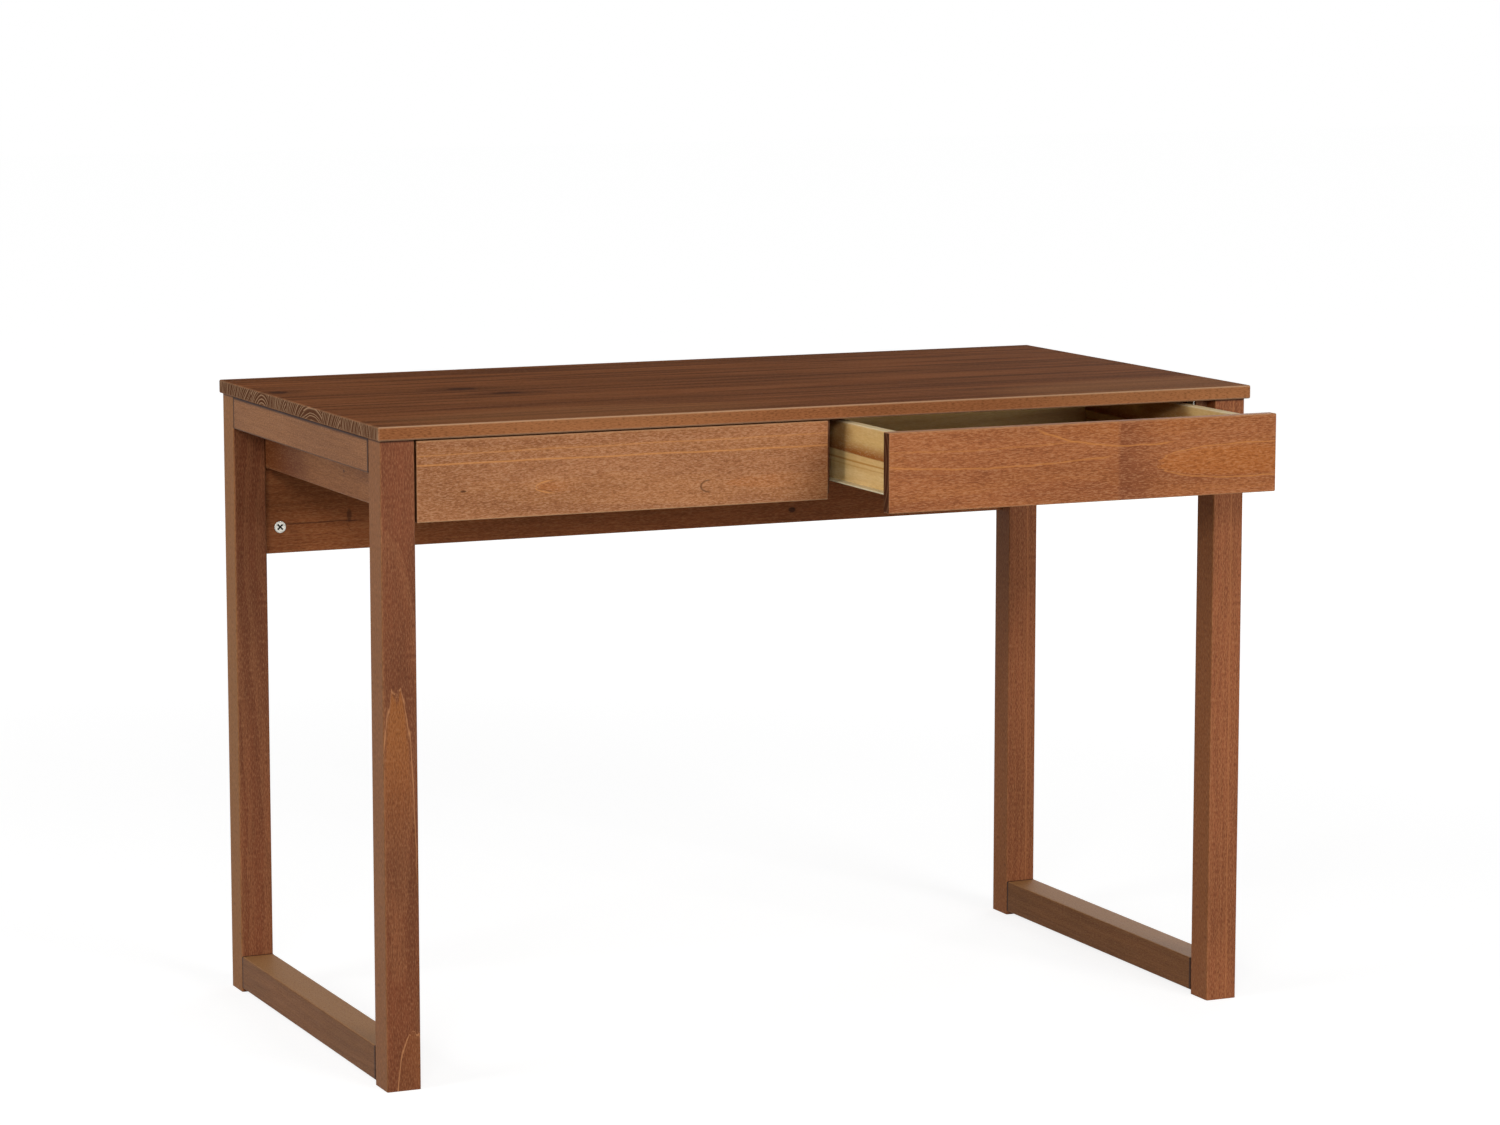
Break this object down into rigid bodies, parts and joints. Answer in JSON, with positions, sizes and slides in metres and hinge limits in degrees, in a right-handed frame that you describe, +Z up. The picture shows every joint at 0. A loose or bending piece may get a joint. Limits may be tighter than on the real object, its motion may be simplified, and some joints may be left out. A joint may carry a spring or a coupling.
{
  "type": "kneehole desk",
  "caption": "Kneehole desk of stained pine with closed leg frames, a thin solid top and side-by-side drawers, one pulled part open.",
  "frame": {"origin": "on the floor, in the middle of the space the desk takes with its right drawer open as pictured", "axes": "+X to the right along the desktop's long edge, +Y to the back, +Z up"},
  "size_m": [1.1, 0.7074, 0.748],
  "materials": {
    "stained_pine": "satin",
    "raw_pine": "matte",
    "drawer_sheet": "matte",
    "dowel_beech": "matte",
    "slide_steel": "satin",
    "roller_nylon": "matte",
    "zinc_steel": "satin"
  },
  "bodies": {
    "desk": {"desktop": "stained_pine", "centre_partition": "stained_pine", "back_panel": "stained_pine", "left_front_leg": "stained_pine", "left_rear_leg": "stained_pine", "left_top_rail": "stained_pine", "left_bottom_rail": "stained_pine", "left_side_board": "stained_pine", "right_front_leg": "stained_pine", "right_rear_leg": "stained_pine", "right_top_rail": "stained_pine", "right_bottom_rail": "stained_pine", "right_side_board": "stained_pine", "cam_locks": "zinc_steel", "cam_bolts": "zinc_steel", "frame_dowels": "dowel_beech", "board_screws": "zinc_steel", "partition_screws": "zinc_steel", "angle_brackets": "zinc_steel", "bracket_screws": "zinc_steel", "slide_screws": "zinc_steel", "left_outer_cabinet_slide": "slide_steel", "left_inner_cabinet_slide": "slide_steel", "right_outer_cabinet_slide": "slide_steel", "right_inner_cabinet_slide": "slide_steel"},
    "left_drawer": {"left_drawer_front": "stained_pine", "left_drawer_outer_side": "raw_pine", "left_drawer_inner_side": "raw_pine", "left_drawer_back": "raw_pine", "left_drawer_bottom": "drawer_sheet", "left_outer_drawer_slide": "slide_steel", "left_inner_drawer_slide": "slide_steel", "left_drawer_dowels": "dowel_beech", "left_member_screws": "zinc_steel"},
    "right_drawer": {"right_drawer_front": "stained_pine", "right_drawer_outer_side": "raw_pine", "right_drawer_inner_side": "raw_pine", "right_drawer_back": "raw_pine", "right_drawer_bottom": "drawer_sheet", "right_outer_drawer_slide": "slide_steel", "right_inner_drawer_slide": "slide_steel", "right_drawer_dowels": "dowel_beech", "right_member_screws": "zinc_steel"},
    "left_outer_front_roller": {"left_outer_front_roller": "roller_nylon"},
    "left_outer_rear_roller": {"left_outer_rear_roller": "roller_nylon"},
    "left_inner_front_roller": {"left_inner_front_roller": "roller_nylon"},
    "left_inner_rear_roller": {"left_inner_rear_roller": "roller_nylon"},
    "right_outer_front_roller": {"right_outer_front_roller": "roller_nylon"},
    "right_outer_rear_roller": {"right_outer_rear_roller": "roller_nylon"},
    "right_inner_front_roller": {"right_inner_front_roller": "roller_nylon"},
    "right_inner_rear_roller": {"right_inner_rear_roller": "roller_nylon"}
  },
  "joints": [
    {"name": "left_drawer_slide", "type": "slide", "parent": "desk", "child": "left_drawer", "axis": [0, -1, 0], "range_m": [0, 0.26]},
    {"name": "right_drawer_slide", "type": "slide", "parent": "desk", "child": "right_drawer", "axis": [0, -1, 0], "range_m": [-0.144, 0.116]},
    {"name": "left_outer_front_roller_spin", "type": "hinge", "parent": "desk", "child": "left_outer_front_roller", "pos_m": [-0.48465, -0.14875, 0.6485], "axis": [1, 0, 0], "continuous": true},
    {"name": "left_outer_rear_roller_spin", "type": "hinge", "parent": "left_drawer", "child": "left_outer_rear_roller", "pos_m": [-0.48355, 0.14275, 0.6569], "axis": [1, 0, 0], "continuous": true},
    {"name": "left_inner_front_roller_spin", "type": "hinge", "parent": "desk", "child": "left_inner_front_roller", "pos_m": [-0.01335, -0.14875, 0.6485], "axis": [1, 0, 0], "continuous": true},
    {"name": "left_inner_rear_roller_spin", "type": "hinge", "parent": "left_drawer", "child": "left_inner_rear_roller", "pos_m": [-0.01445, 0.14275, 0.6569], "axis": [1, 0, 0], "continuous": true},
    {"name": "right_outer_front_roller_spin", "type": "hinge", "parent": "desk", "child": "right_outer_front_roller", "pos_m": [0.48465, -0.14875, 0.6485], "axis": [1, 0, 0], "continuous": true},
    {"name": "right_outer_rear_roller_spin", "type": "hinge", "parent": "right_drawer", "child": "right_outer_rear_roller", "pos_m": [0.48355, -0.00125, 0.6569], "axis": [1, 0, 0], "continuous": true},
    {"name": "right_inner_front_roller_spin", "type": "hinge", "parent": "desk", "child": "right_inner_front_roller", "pos_m": [0.01335, -0.14875, 0.6485], "axis": [1, 0, 0], "continuous": true},
    {"name": "right_inner_rear_roller_spin", "type": "hinge", "parent": "right_drawer", "child": "right_inner_rear_roller", "pos_m": [0.01445, -0.00125, 0.6569], "axis": [1, 0, 0], "continuous": true}
  ],
  "couplings": [
    {"joint": "left_outer_front_roller_spin", "follows": "left_drawer_slide", "rad_per_m": 111.11},
    {"joint": "left_outer_rear_roller_spin", "follows": "left_drawer_slide", "rad_per_m": 111.11},
    {"joint": "left_inner_front_roller_spin", "follows": "left_drawer_slide", "rad_per_m": 111.11},
    {"joint": "left_inner_rear_roller_spin", "follows": "left_drawer_slide", "rad_per_m": 111.11},
    {"joint": "right_outer_front_roller_spin", "follows": "right_drawer_slide", "rad_per_m": 111.11},
    {"joint": "right_outer_rear_roller_spin", "follows": "right_drawer_slide", "rad_per_m": 111.11},
    {"joint": "right_inner_front_roller_spin", "follows": "right_drawer_slide", "rad_per_m": 111.11},
    {"joint": "right_inner_rear_roller_spin", "follows": "right_drawer_slide", "rad_per_m": 111.11}
  ]
}
